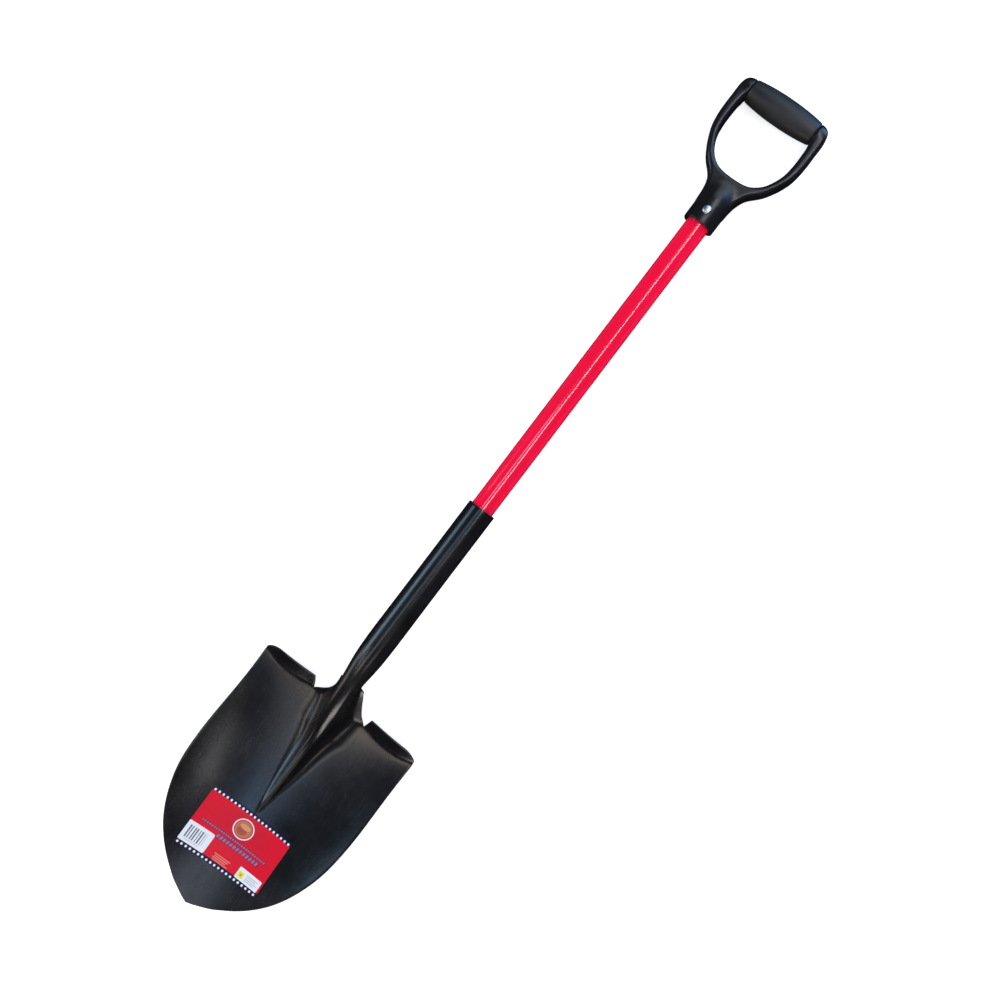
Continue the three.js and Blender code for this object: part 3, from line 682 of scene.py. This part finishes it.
    # left panel with upright bars
    left = panel(-58.2, -22.5, 44.4, 68.8, 2.4)
    base = n.mix(left, base, white)
    ph = n.math("ADD", n.math("SINE", n.math("MULTIPLY", x, 1.9)), n.math("MULTIPLY", n.math("SINE", n.math("MULTIPLY", x, 0.83)), 0.6))
    bars = n.level(ph, 0.05, 0.35)
    base = n.mix(n.math("MULTIPLY", n.math("MULTIPLY", box(-54.0, -29.5, 48.6, 63.6), bars), 0.85), base, ink)
    base = n.mix(n.math("MULTIPLY", box(-51.0, -31.5, 65.0, 66.0), 0.5), base, (0.35, 0.35, 0.38))
    # right panel with a plain yellow square and grey rules
    right = panel(23.2, 55.2, 55.2, 69.0, 1.0)
    base = n.mix(right, base, white)
    base = n.mix(box(25.4, 32.4, 59.6, 66.6), base, (0.86, 0.72, 0.03))
    base = n.mix(box(27.6, 30.2, 61.8, 64.4), base, (0.50, 0.40, 0.03))
    for k in range(4):
        base = n.mix(box(35.4, 52.0 - 3.0 * (k % 2), 58.6 + 2.2 * k, 59.5 + 2.2 * k), base, (0.50, 0.50, 0.52))
    n.put(n.b.inputs["Base Color"], base)
    n.put(n.b.inputs["Roughness"], n.level(fleck, 0.3, 0.75, 0.30, 0.42))
    n.b.inputs["IOR"].default_value = 1.47
    n.b.inputs["Specular IOR Level"].default_value = 0.22
    n.put(n.b.inputs["Normal"], n.bump(n.noise(v, 120, 3.0, 0.55), 0.18, 0.0004, n.bump(fleck, 0.06, 0.0001)))
    return n.m


M = {
    "blade_paint": powder_coat("blade_paint"),
    "fibreglass": fibreglass("fibreglass"),
    "core_plug": wood("core_plug"),
    "grip_moulding": moulded_plastic("grip_moulding"),
    "soft_barrel": soft_rubber("soft_barrel"),
    "zinc_plate": plated_steel("zinc_plate"),
    "painted_rivet": powder_coat("painted_rivet", (0.011, 0.0105, 0.011), (0.34, 0.46), False),
    "label_film": label_print("label_film"),
}


# ------------------------------------------------------------------------------------------------ blade and socket
def blade():
    NI, NO, NF = 46, 30, 9
    upper = [0, -3, -10, -30, -60, -95, -130, -160, -178] + list(np.linspace(-186, JOIN_Y, 48))
    lower = list(np.linspace(JOIN_Y, -470, 74)[1:]) + list(np.linspace(-470, -560, 34)[1:]) + [-563, -566, -568.8, -571.2, -573.4, LAST_ROW_Y]
    rows = [float(y) for y in upper + lower]
    join = len(upper) - 1
    verts, faces, at = [], [], {}

    def put(key, p):
        at[key] = len(verts)
        verts.append(p)

    faces_at = {}
    for r, y in enumerate(rows):
        below = r >= join
        f = face_at(y)
        if below:
            half = spread(section(y), NI, 0, min(inner_x(y), 0.34 * half_width(y)))
        else:
            half = spread(section(y), NI, sheet_half(y))
        right = half if below else spread(section(y), NI, sheet_half(y) + neck_lobe(y))
        for c in range(-NI, NI + 1):
            x, z = right[c] if c > 0 else half[-c]
            put((c, r), (math.copysign(1, c) * x if c else 0.0, y, z))
        if not below:
            continue
        x0, x1 = half[NI][0], half_width(y)
        for k in range(1, NO + 1):
            x = x0 + (x1 - x0) * k / NO
            z = f(x)
            put((NI + k, r), (x, y, z))
            put((-NI - k, r), (-x, y, z))

    def quad(a, b, c, d):
        faces.append((at[a], at[b], at[c], at[d]))

    for r in range(len(rows) - 1):
        w = NI if r < join else NI + NO
        for c in range(-w, w):
            quad((c, r), (c, r + 1), (c + 1, r + 1), (c + 1, r))
    x0 = verts[at[(NI, join)]][0]
    hj = half_width(JOIN_Y)
    for side in (1, -1):
        for v in range(1, NF + 1):
            for k in range(NO + 1):
                g = v / NF
                a, b = x0 + 4.6 * g, hj + (NOSE_X - 0.6 - hj) * g
                x = a + (b - a) * k / NO
                y = JOIN_Y + (step_top(x) - JOIN_Y) * g
                put(("s", side, k, v), (side * x, y, face_at(y)(x)))

        def key(k, v, side=side):
            return (side * (NI + k), join) if v == 0 else ("s", side, k, v)

        for v in range(NF):
            for k in range(NO):
                q = [key(k, v), key(k + 1, v), key(k + 1, v + 1), key(k, v + 1)]
                if side < 0:
                    q = [q[1], q[0], q[3], q[2]]
                quad(*q)
    last, w = len(rows) - 1, NI + NO
    put("tip", (0.0, TIP_Y, face_at(TIP_Y)(0)))
    for c in range(-w, w):
        faces.append((at[(c, last)], at["tip"], at[(c + 1, last)]))
    P, F, mask = sheet_solid(verts, faces, 1.0)
    ob = new_piece("steel_blade_and_socket", P, F, M["blade_paint"], ["blade_and_socket"], angle=50)
    attribute(ob, "edge", mask)
    return ob


blade_ob = blade()


# ------------------------------------------------------------------------------------------------ shaft
def shaft():
    prof = rounded([(9.4, -186), (15.2, -186), (15.2, -8), (14.29, -4), (14.29, 449), (9.4, 449)], [0, 1.0, 0, 0, 0.8, 0], 4)
    dense = []
    for a, b in zip(prof, prof[1:]):
        k = max(1, int(abs(b[1] - a[1]) / 30))
        dense += [(a[0] + (b[0] - a[0]) * i / k, a[1] + (b[1] - a[1]) * i / k) for i in range(k)]
    dense.append(prof[-1])
    v, f = turned(dense, 128, closed=True)
    ob = new_piece("fibreglass_shaft", along_y(v), f, M["fibreglass"], ["handle_shaft"])
    drill(ob, [cutter(2.75, -30, 30, GRIP_RIVET_Y), cutter(2.35, -30, 0, -38)])
    return ob


shaft_ob = shaft()


# ------------------------------------------------------------------------------------------------ D-grip
def catmull(points, steps=8):
    p = [np.array(q, float) for q in points]
    out = []
    for i in range(len(p) - 1):
        a, b, c, d = p[max(i - 1, 0)], p[i], p[i + 1], p[min(i + 2, len(p) - 1)]
        for k in range(steps):
            t = k / steps
            out.append(0.5 * ((2 * b) + (-a + c) * t + (2 * a - 5 * b + 4 * c - d) * t * t + (-a + 3 * b - 3 * c + d) * t ** 3))
    out.append(p[-1])
    return [tuple(map(float, q)) for q in out]


def poly_distance(px, py, poly):
    """Signed distance to a closed polygon, negative inside, on arrays."""
    best = np.full(px.shape, 1e18)
    inside = np.zeros(px.shape, bool)
    n = len(poly)
    for i in range(n):
        (ax, ay), (bx, by) = poly[i], poly[(i + 1) % n]
        ex, ey = bx - ax, by - ay
        l2 = ex * ex + ey * ey
        if l2 < 1e-12:
            continue
        wx, wy = px - ax, py - ay
        t = np.clip((wx * ex + wy * ey) / l2, 0, 1)
        best = np.minimum(best, (wx - ex * t) ** 2 + (wy - ey * t) ** 2)
        if ay != by:
            inside ^= ((ay > py) != (by > py)) & (px < ex * (py - ay) / ey + ax)
    d = np.sqrt(best)
    return np.where(inside, -d, d)


def smin(a, b, k):
    h = np.maximum(k - np.abs(a - b), 0) / k
    return np.minimum(a, b) - h * h * h * k / 6


def surface_nets(field, origin, h):
    """Closed mesh of field = 0, negative inside, on a regular grid."""
    s = field < 0
    nx, ny, nz = field.shape
    corners = [(i, j, k) for i in (0, 1) for j in (0, 1) for k in (0, 1)]
    count = sum(s[i:nx - 1 + i, j:ny - 1 + j, k:nz - 1 + k].astype(np.int8) for i, j, k in corners)
    mixed = (count > 0) & (count < 8)
    cell = np.argwhere(mixed)
    index = np.full(mixed.shape, -1, np.int64)
    index[mixed] = np.arange(len(cell))
    total, hits = np.zeros((len(cell), 3)), np.zeros(len(cell))
    for a in corners:
        for axis in range(3):
            if a[axis]:
                continue
            b = list(a)
            b[axis] = 1
            fa = field[cell[:, 0] + a[0], cell[:, 1] + a[1], cell[:, 2] + a[2]]
            fb = field[cell[:, 0] + b[0], cell[:, 1] + b[1], cell[:, 2] + b[2]]
            cross = (fa < 0) != (fb < 0)
            t = np.where(cross, fa / np.where(cross, fa - fb, 1), 0)
            p = np.tile(np.array(a, float), (len(cell), 1))
            p[:, axis] = t
            total += np.where(cross[:, None], p, 0)
            hits += cross
    verts = (cell + total / hits[:, None]) * h + origin
    faces = []
    for axis in range(3):
        u, v = [(1, 2), (2, 0), (0, 1)][axis]
        sl0, sl1 = [slice(None)] * 3, [slice(None)] * 3
        sl0[axis], sl1[axis] = slice(0, -1), slice(1, None)
        a, b = s[tuple(sl0)], s[tuple(sl1)]
        e = np.argwhere(a != b)
        ok = (e[:, u] > 0) & (e[:, v] > 0) & (e[:, u] < field.shape[u] - 1) & (e[:, v] < field.shape[v] - 1)
        e = e[ok]
        flip = a[tuple(e.T)]
        q = []
        for du, dv in ((0, 0), (-1, 0), (-1, -1), (0, -1)):
            c = e.copy()
            c[:, u] += du
            c[:, v] += dv
            q.append(index[tuple(c.T)])
        q = np.stack(q, 1)
        q[~flip] = q[~flip][:, ::-1]
        faces.append(q)
    return verts, np.concatenate(faces)


BAR_Y = 574.8
outer = [
    (20.2, 446), (21.6, 453), (23.6, 459), (26.4, 465.5), (30.8, 471.3), (36.6, 477), (42.6, 484), (48.2, 493), (53.0, 502.3), (57.2, 514),
    (59.4, 527), (60.2, 540), (60.2, 554), (60.2, 566), (59.85, 572), (58.7, 577.6), (56.6, 582.0), (53.6, 585.3), (49.6, 587.6), (47.4, 588.3),
]
inner = [
    (45.7, 557.5), (46.6, 552), (47.0, 543), (46.9, 528), (45.4, 514.5), (42.6, 505.5), (38.5, 496.5),
    (33.8, 489.4), (27.6, 483.8), (20.6, 479.8), (11.5, 477.8), (0, 477.3),
]


def grip():
    rim = catmull(outer, 6) + [(45.35, 588.6), (45.35, 561.5)] + catmull(inner, 6)
    right = [(17.5, 436)] + rim
    poly = right + [(-x, y) for x, y in right[::-1][1:]]
    # the whole outline seen from the front, which nothing blends past
    right = [(19.8, 405), (19.8, 436), (19.85, 441)] + rim
    full = right + [(-x, y) for x, y in right[::-1][1:]]
    h = 0.8
    lo = np.array([-62.8, 410.0, -22.4])
    n = [int(round(2 * 62.8 / h)) + 1, int(round((592.0 - 410.0) / h)) + 1, int(round(2 * 22.4 / h)) + 1]
    X, Y = np.meshgrid(lo[0] + h * np.arange(n[0]), lo[1] + h * np.arange(n[1]), indexing="ij")
    d2 = poly_distance(X, Y, poly)
    tab_c = poly_distance(X, Y, full)
    ferrule_prof = [
        (0, 411.6), (19.0, 411.6), (19.56, 411.85), (19.8, 412.4), (19.8, 436), (19.7, 440), (19.4, 444), (18.9, 447), (18.2, 450),
        (17.3, 452.9), (16.2, 455.5), (15.0, 458), (13.6, 460.5), (12.1, 462.7), (10.5, 464.5), (6.5, 467.3), (0, 468.5),
    ]
    ferrule_poly = ferrule_prof + [(-r, y) for r, y in ferrule_prof[::-1][1:-1]]
    # the ferrule's and the ears' distances, tabled on (radius, along) and read back in three dimensions
    tr = np.arange(0, 70, 0.4)
    ty = lo[1] + 0.4 * np.arange(int((592.8 - 410) / 0.4) + 1)
    tab_f = poly_distance(*np.meshgrid(tr, ty, indexing="ij"), ferrule_poly)
    ear_prof = [(45.35, 0), (45.35, 13.2), (45.5, 13.6), (45.9, 13.8), (49.0, 13.4), (51.5, 12.7), (53.8, 11.5), (55.8, 9.9), (57.5, 8.0), (58.8, 5.9), (59.6, 3.2), (59.9, 0)]
    ear_poly = ear_prof + [(x, -r) for x, r in ear_prof[::-1][1:-1]]
    # the round back of each ear, which the arm's corners don't pass
    cap_prof = [(40, 0), (40, 13.8), (46, 13.8), (49, 13.5), (52, 13.0), (55, 12.1), (57.5, 11.0), (59.2, 9.2), (60.0, 7.2), (60.2, 5.5), (60.2, 0)]
    cap_poly = cap_prof + [(x, -r) for x, r in cap_prof[::-1][1:-1]]
    tx = np.arange(0, 64, 0.4)
    te = np.arange(0, 190, 0.4)
    tab_e = poly_distance(*np.meshgrid(tx, te, indexing="ij"), ear_poly)
    tab_k = poly_distance(*np.meshgrid(tx, te, indexing="ij"), cap_poly)

    def read(tab, u, v, du=0.4, u0=0.0, v0=0.0):
        a, b = np.clip((u - u0) / du, 0, tab.shape[0] - 1.001), np.clip((v - v0) / du, 0, tab.shape[1] - 1.001)
        i, j = a.astype(int), b.astype(int)
        fa, fb = a - i, b - j
        return tab[i, j] * (1 - fa) * (1 - fb) + tab[i + 1, j] * fa * (1 - fb) + tab[i, j + 1] * (1 - fa) * fb + tab[i + 1, j + 1] * fa * fb

    tab_p = d2

    def sdf(x, y, z):
        plate2 = read(tab_p, x, y, h, lo[0], lo[1])
        rnd = 5.6
        qx, qz = plate2 + rnd, np.abs(z) - (12 - rnd)
        plate = np.minimum(np.maximum(qx, qz), 0) + np.hypot(np.maximum(qx, 0), np.maximum(qz, 0)) - rnd
        ferrule = read(tab_f, np.hypot(x, z), y, 0.4, 0, lo[1])
        ears = read(tab_e, np.abs(x), np.hypot(y - BAR_Y, z))
        core = np.maximum(np.hypot(y - BAR_Y, z) - 7.5, np.abs(x) - 50)
        body = smin(plate, ferrule, 11.0)
        body = smin(body, ears, 6.0)
        cap = read(tab_k, np.abs(x), np.hypot(y - BAR_Y, z))
        w = np.clip((y - BAR_Y + 4) / 8, 0, 1) * (np.abs(x) > 42)
        body = body + w * (-smin(-body, -cap, 2.5) - body)
        body = -smin(-body, -read(tab_c, x, y, h, lo[0], lo[1]), 3.0)
        body = np.minimum(body, core)
        # the mouth and the inner face of the ears stay crisp
        body = np.maximum(body, 411.6 - y)
        keep = np.maximum(7.5 - np.hypot(y - BAR_Y, z), np.maximum(np.abs(x) - 45.35, np.hypot(y - BAR_Y, z) - 17.9))
        body = np.maximum(body, -keep)
        bore = np.maximum(np.hypot(x, z) - 14.75, y - 450)
        hole = np.hypot(x, y - GRIP_RIVET_Y) - 2.75
        return np.maximum(np.maximum(body, -bore), -hole)

    X, Y, Z = np.meshgrid(lo[0] + h * np.arange(n[0]), lo[1] + h * np.arange(n[1]), lo[2] + h * np.arange(n[2]), indexing="ij")
    V, F = surface_nets(sdf(X, Y, Z), lo, h)
    # pull the vertices onto the surface
    for _ in range(3):
        e = 0.25
        g = np.stack([
            sdf(V[:, 0] + e, V[:, 1], V[:, 2]) - sdf(V[:, 0] - e, V[:, 1], V[:, 2]),
            sdf(V[:, 0], V[:, 1] + e, V[:, 2]) - sdf(V[:, 0], V[:, 1] - e, V[:, 2]),
            sdf(V[:, 0], V[:, 1], V[:, 2] + e) - sdf(V[:, 0], V[:, 1], V[:, 2] - e),
        ], 1) / (2 * e)
        l2 = np.maximum((g * g).sum(1), 0.25)
        V = V - 0.8 * np.clip(sdf(V[:, 0], V[:, 1], V[:, 2]) / l2, -0.4, 0.4)[:, None] * g
    V[:, 0] = np.clip(V[:, 0], -60.2, 60.2)
    return new_piece("moulded_d_grip", V, F, M["grip_moulding"], ["d_grip_frame"], angle=48)


grip_ob = grip()


def barrel():
    prof = [(7.85, -45.0), (13.2, -45.0)]
    for i in range(61):
        x = -45 + 90 * i / 60
        q = abs(x) / 45
        r = 17.5 - 3.3 * q ** 2.2
        edge = 45 - abs(x)
        if edge < 0.9:
            r -= 0.9 - math.sqrt(max(0.81 - (0.9 - edge) ** 2, 0))
        prof.append((r, x))
    prof += [(13.2, 45.0), (7.85, 45.0)]
    clean = [prof[0]]
    for p in prof[1:]:
        if math.hypot(p[0] - clean[-1][0], p[1] - clean[-1][1]) > 1e-4:
            clean.append(p)
    v, f = turned(clean, 96, closed=True)
    v = along_x(v)
    v[:, 1] += BAR_Y
    return new_piece("soft_grip_barrel", v, f, M["soft_barrel"], ["grip_barrel"])


barrel_ob = barrel()


# ------------------------------------------------------------------------------------------------ rivets
def rivets():
    z0 = 20.1
    head = [(5.2, z0), (5.2, z0 + 0.35), (5.08, z0 + 0.8)] + [
        (5.0 * math.cos(a * RAD), z0 + 0.8 + 1.5 * math.sin(a * RAD)) for a in (12, 24, 36, 48, 60, 70, 80)] + [(0, z0 + 2.3)]
    tail = [(0, -z0 - 2.4), (1.5, -z0 - 2.38), (2.6, -z0 - 2.2), (3.3, -z0 - 1.95), (3.8, -z0 - 1.6), (3.9, -z0 - 1.35), (3.8, -z0 - 1.2)]
    v, f = turned(tail + [(2.4, -z0 - 1.2), (2.4, z0)] + head, 64)
    v[:, 1] += GRIP_RIVET_Y
    new_piece("grip_rivet_visual", v, f, M["zinc_plate"], ["grip_rivet"])
    v, f = turned(rounded([(2.75, -z0 - 0.9), (5.6, -z0 - 0.9), (5.6, -z0), (2.75, -z0)], [0, 0.25, 0.25, 0], 4), 64, closed=True)
    v[:, 1] += GRIP_RIVET_Y
    new_piece("grip_rivet_washer_visual", v, f, M["zinc_plate"], ["grip_rivet_washer"])
    w0 = 17.9
    dome = [(0, -w0 - 2.4)] + [(r, -w0 - 2.4 + 2.0 * (r / 5.5) ** 2.6) for r in (0.9, 1.8, 2.7, 3.6, 4.3, 4.9, 5.3)] + [(5.5, -w0 - 0.15), (5.42, -w0)]
    v, f = turned(dome + [(2.0, -w0), (2.0, -1.0), (0, -1.0)], 64)
    v[:, 1] += -38
    new_piece("socket_rivet_visual", v, f, M["painted_rivet"], ["socket_rivet"])


rivets()


# ------------------------------------------------------------------------------------------------ label
def label():
    U, V = 120, 78
    verts, faces = [], []
    uv = []
    corners = np.array([(-58.6, -457.6), (57.2, -454.1), (61.3, -525.1), (-55.1, -533.7)])
    for j in range(V + 1):
        for i in range(U + 1):
            g, k = i / U, j / V
            x, y = (corners[0] * (1 - g) + corners[1] * g) * (1 - k) + (corners[3] * (1 - g) + corners[2] * g) * k
            verts.append((x, y, face_at(y)(x)))
            uv.append((115 * (g - 0.5), 74 * k))
    for j in range(V):
        for i in range(U):
            a = j * (U + 1) + i
            faces.append((a, a + U + 1, a + U + 2, a + 1))
    base = np.array(verts)
    P, F, mask = sheet_solid(verts, faces, 0.09, rim=4, inset=0.06)
    # lift it off the middle surface to just clear of the paint
    n0 = len(verts)
    N = P[:n0] - P[n0:2 * n0]
    N /= np.linalg.norm(N, axis=1, keepdims=True)
    owner = np.concatenate([np.arange(n0), np.arange(n0)])
    tree_idx = []
    rest = P[2 * n0:]
    for p in rest:
        tree_idx.append(int(np.argmin(((base - p) ** 2).sum(1))))
    owner = np.concatenate([owner, np.array(tree_idx, int)])
    P = P + N[owner] * 1.17
    ob = new_piece("printed_label", P, F, M["label_film"], ["blade_label"], angle=50, outward=True)
    layer = ob.data.uv_layers.new(name="print")
    uvs = np.array(uv)[owner]
    loops = np.zeros(len(ob.data.loops), np.int64)
    ob.data.loops.foreach_get("vertex_index", loops)
    layer.data.foreach_set("uv", uvs[loops].astype(np.float32).ravel())
    return ob


label_ob = label()

# the plugs sit inside the shaft and keep the CAD shape
for node in ("lower_core_plug", "upper_core_plug"):
    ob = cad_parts[node]
    ob.data.materials.clear()
    ob.data.materials.append(M["core_plug"])

# ------------------------------------------------------------------------------------------------ floor, light, camera
def stage():
    n = Nodes("studio_floor")
    v = n.coords()
    n.put(n.b.inputs["Base Color"], n.mix(n.level(n.noise(v, 3.0, 3.0, 0.5), 0.3, 0.7), (0.90, 0.90, 0.90), (0.93, 0.93, 0.93)))
    n.b.inputs["Roughness"].default_value = 0.9
    n.b.inputs["Specular IOR Level"].default_value = 0.1
    n.b.inputs["Emission Color"].default_value = (1, 1, 1, 1)
    n.b.inputs["Emission Strength"].default_value = 0.6
    me = bpy.data.meshes.new("floor")
    s = 14
    me.from_pydata([(-s, -s, -0.0004), (s, -s, -0.0004), (s, s, -0.0004), (-s, s, -0.0004)], [], [(0, 1, 2, 3)])
    me.materials.append(n.m)
    ob = bpy.data.objects.new("floor", me)
    ob.visible_glossy = False
    bpy.context.scene.collection.objects.link(ob)


stage()

world = bpy.data.worlds.new("studio")
bpy.context.scene.world = world
world.use_nodes = True
wt = world.node_tree
bg = wt.nodes["Background"]
bg.inputs[0].default_value = (0.30, 0.295, 0.29, 1)
bg.inputs[1].default_value = 1.0
world.cycles_visibility.glossy = False


def area(name, where, target, size, radiance, colour=(1, 1, 1), along=(0, 1, 0)):
    """A soft box: size is (width, length) in metres, its length lies along the given direction, radiance is its brightness as seen."""
    l = bpy.data.lights.new(name, "AREA")
    l.shape = "RECTANGLE"
    l.size, l.size_y = size
    l.energy = radiance * math.pi * size[0] * size[1]
    l.color = colour
    ob = bpy.data.objects.new(name, l)
    z = (Vector(where) - Vector(target)).normalized()
    y = (Vector(along) - z * Vector(along).dot(z)).normalized()
    m = Matrix((y.cross(z), y, z)).transposed().to_4x4()
    m.translation = Vector(where)
    ob.matrix_world = m
    bpy.context.scene.collection.objects.link(ob)
    return ob


UP = (0, 0, 1)
# soft boxes over the blade, warm at its tip and cooler towards the handle
area("over_tip", (-0.30, -1.25, 2.0), (0.0, -0.3, 0.0), (0.46, 0.60), 4.4, (1.0, 0.88, 0.78))
area("over_blade", (-0.16, -0.55, 2.0), (0.0, -0.2, 0.0), (0.36, 0.64), 3.0, (0.78, 0.86, 1.0))
area("over_socket", (-0.15, 0.10, 2.0), (0.0, 0.0, 0.0), (0.32, 0.60), 4.0, (0.34, 0.60, 1.0))
area("left_high", (-1.30, -1.20, 2.0), (0.0, 0.0, 0.0), (0.38, 0.62), 4.5)
area("right_high", (1.40, -1.10, 2.0), (0.0, 0.0, 0.0), (0.38, 0.80), 3.0, (1.0, 0.88, 0.82))
# broad ones at the sides and the two ends
area("left_key", (-1.80, -0.48, 1.17), (0.0, 0.0, 0.0), (1.0, 0.8), 6.0, (0.49, 0.75, 1.0), UP)
area("left_low", (-1.75, -1.27, 0.40), (0.0, 0.0, 0.0), (1.1, 0.7), 2.5, (1.0, 0.85, 0.72), UP)
area("tip_low", (0.67, -2.06, 0.42), (0.0, 0.0, 0.0), (1.1, 0.7), 6.0, (1.0, 0.93, 0.90), UP)
area("grip_end", (0.0, 1.87, 1.17), (0.0, 0.2, 0.0), (1.4, 0.8), 1.9, (0.86, 0.96, 1.0), UP)
area("grip_low", (0.67, 2.06, 0.42), (0.0, 0.0, 0.0), (1.1, 0.7), 9.0, (0.18, 0.44, 1.0), UP)
area("grip_high", (0.25, 1.40, 2.0), (0.0, 0.3, 0.0), (0.38, 0.62), 9.0, (0.82, 0.78, 1.0))
# a long strip light running with the handle
area("strip", (0.48, 0.71, 1.52), (0.0, 0.71, 0.0), (0.10, 1.30), 16.0)
area("strip_end", (0.50, -0.07, 1.52), (0.0, -0.07, 0.0), (0.10, 0.26), 6.0)

cam = bpy.data.cameras.new("camera")
cam.lens, cam.sensor_width = 41.4, 36.0
cam_ob = bpy.data.objects.new("camera", cam)
cam_ob.location = (0.1585, 0.0833, 1.3633)
cam_ob.rotation_euler = Euler((math.radians(1.49), math.radians(6.90), math.radians(37.19)), "XYZ")
cam.clip_start, cam.clip_end = 0.01, 60
bpy.context.scene.collection.objects.link(cam_ob)
bpy.context.scene.camera = cam_ob
bpy.context.scene.view_settings.view_transform = "Standard"
bpy.context.scene.view_settings.look = "None"

bpy.context.view_layer.update()
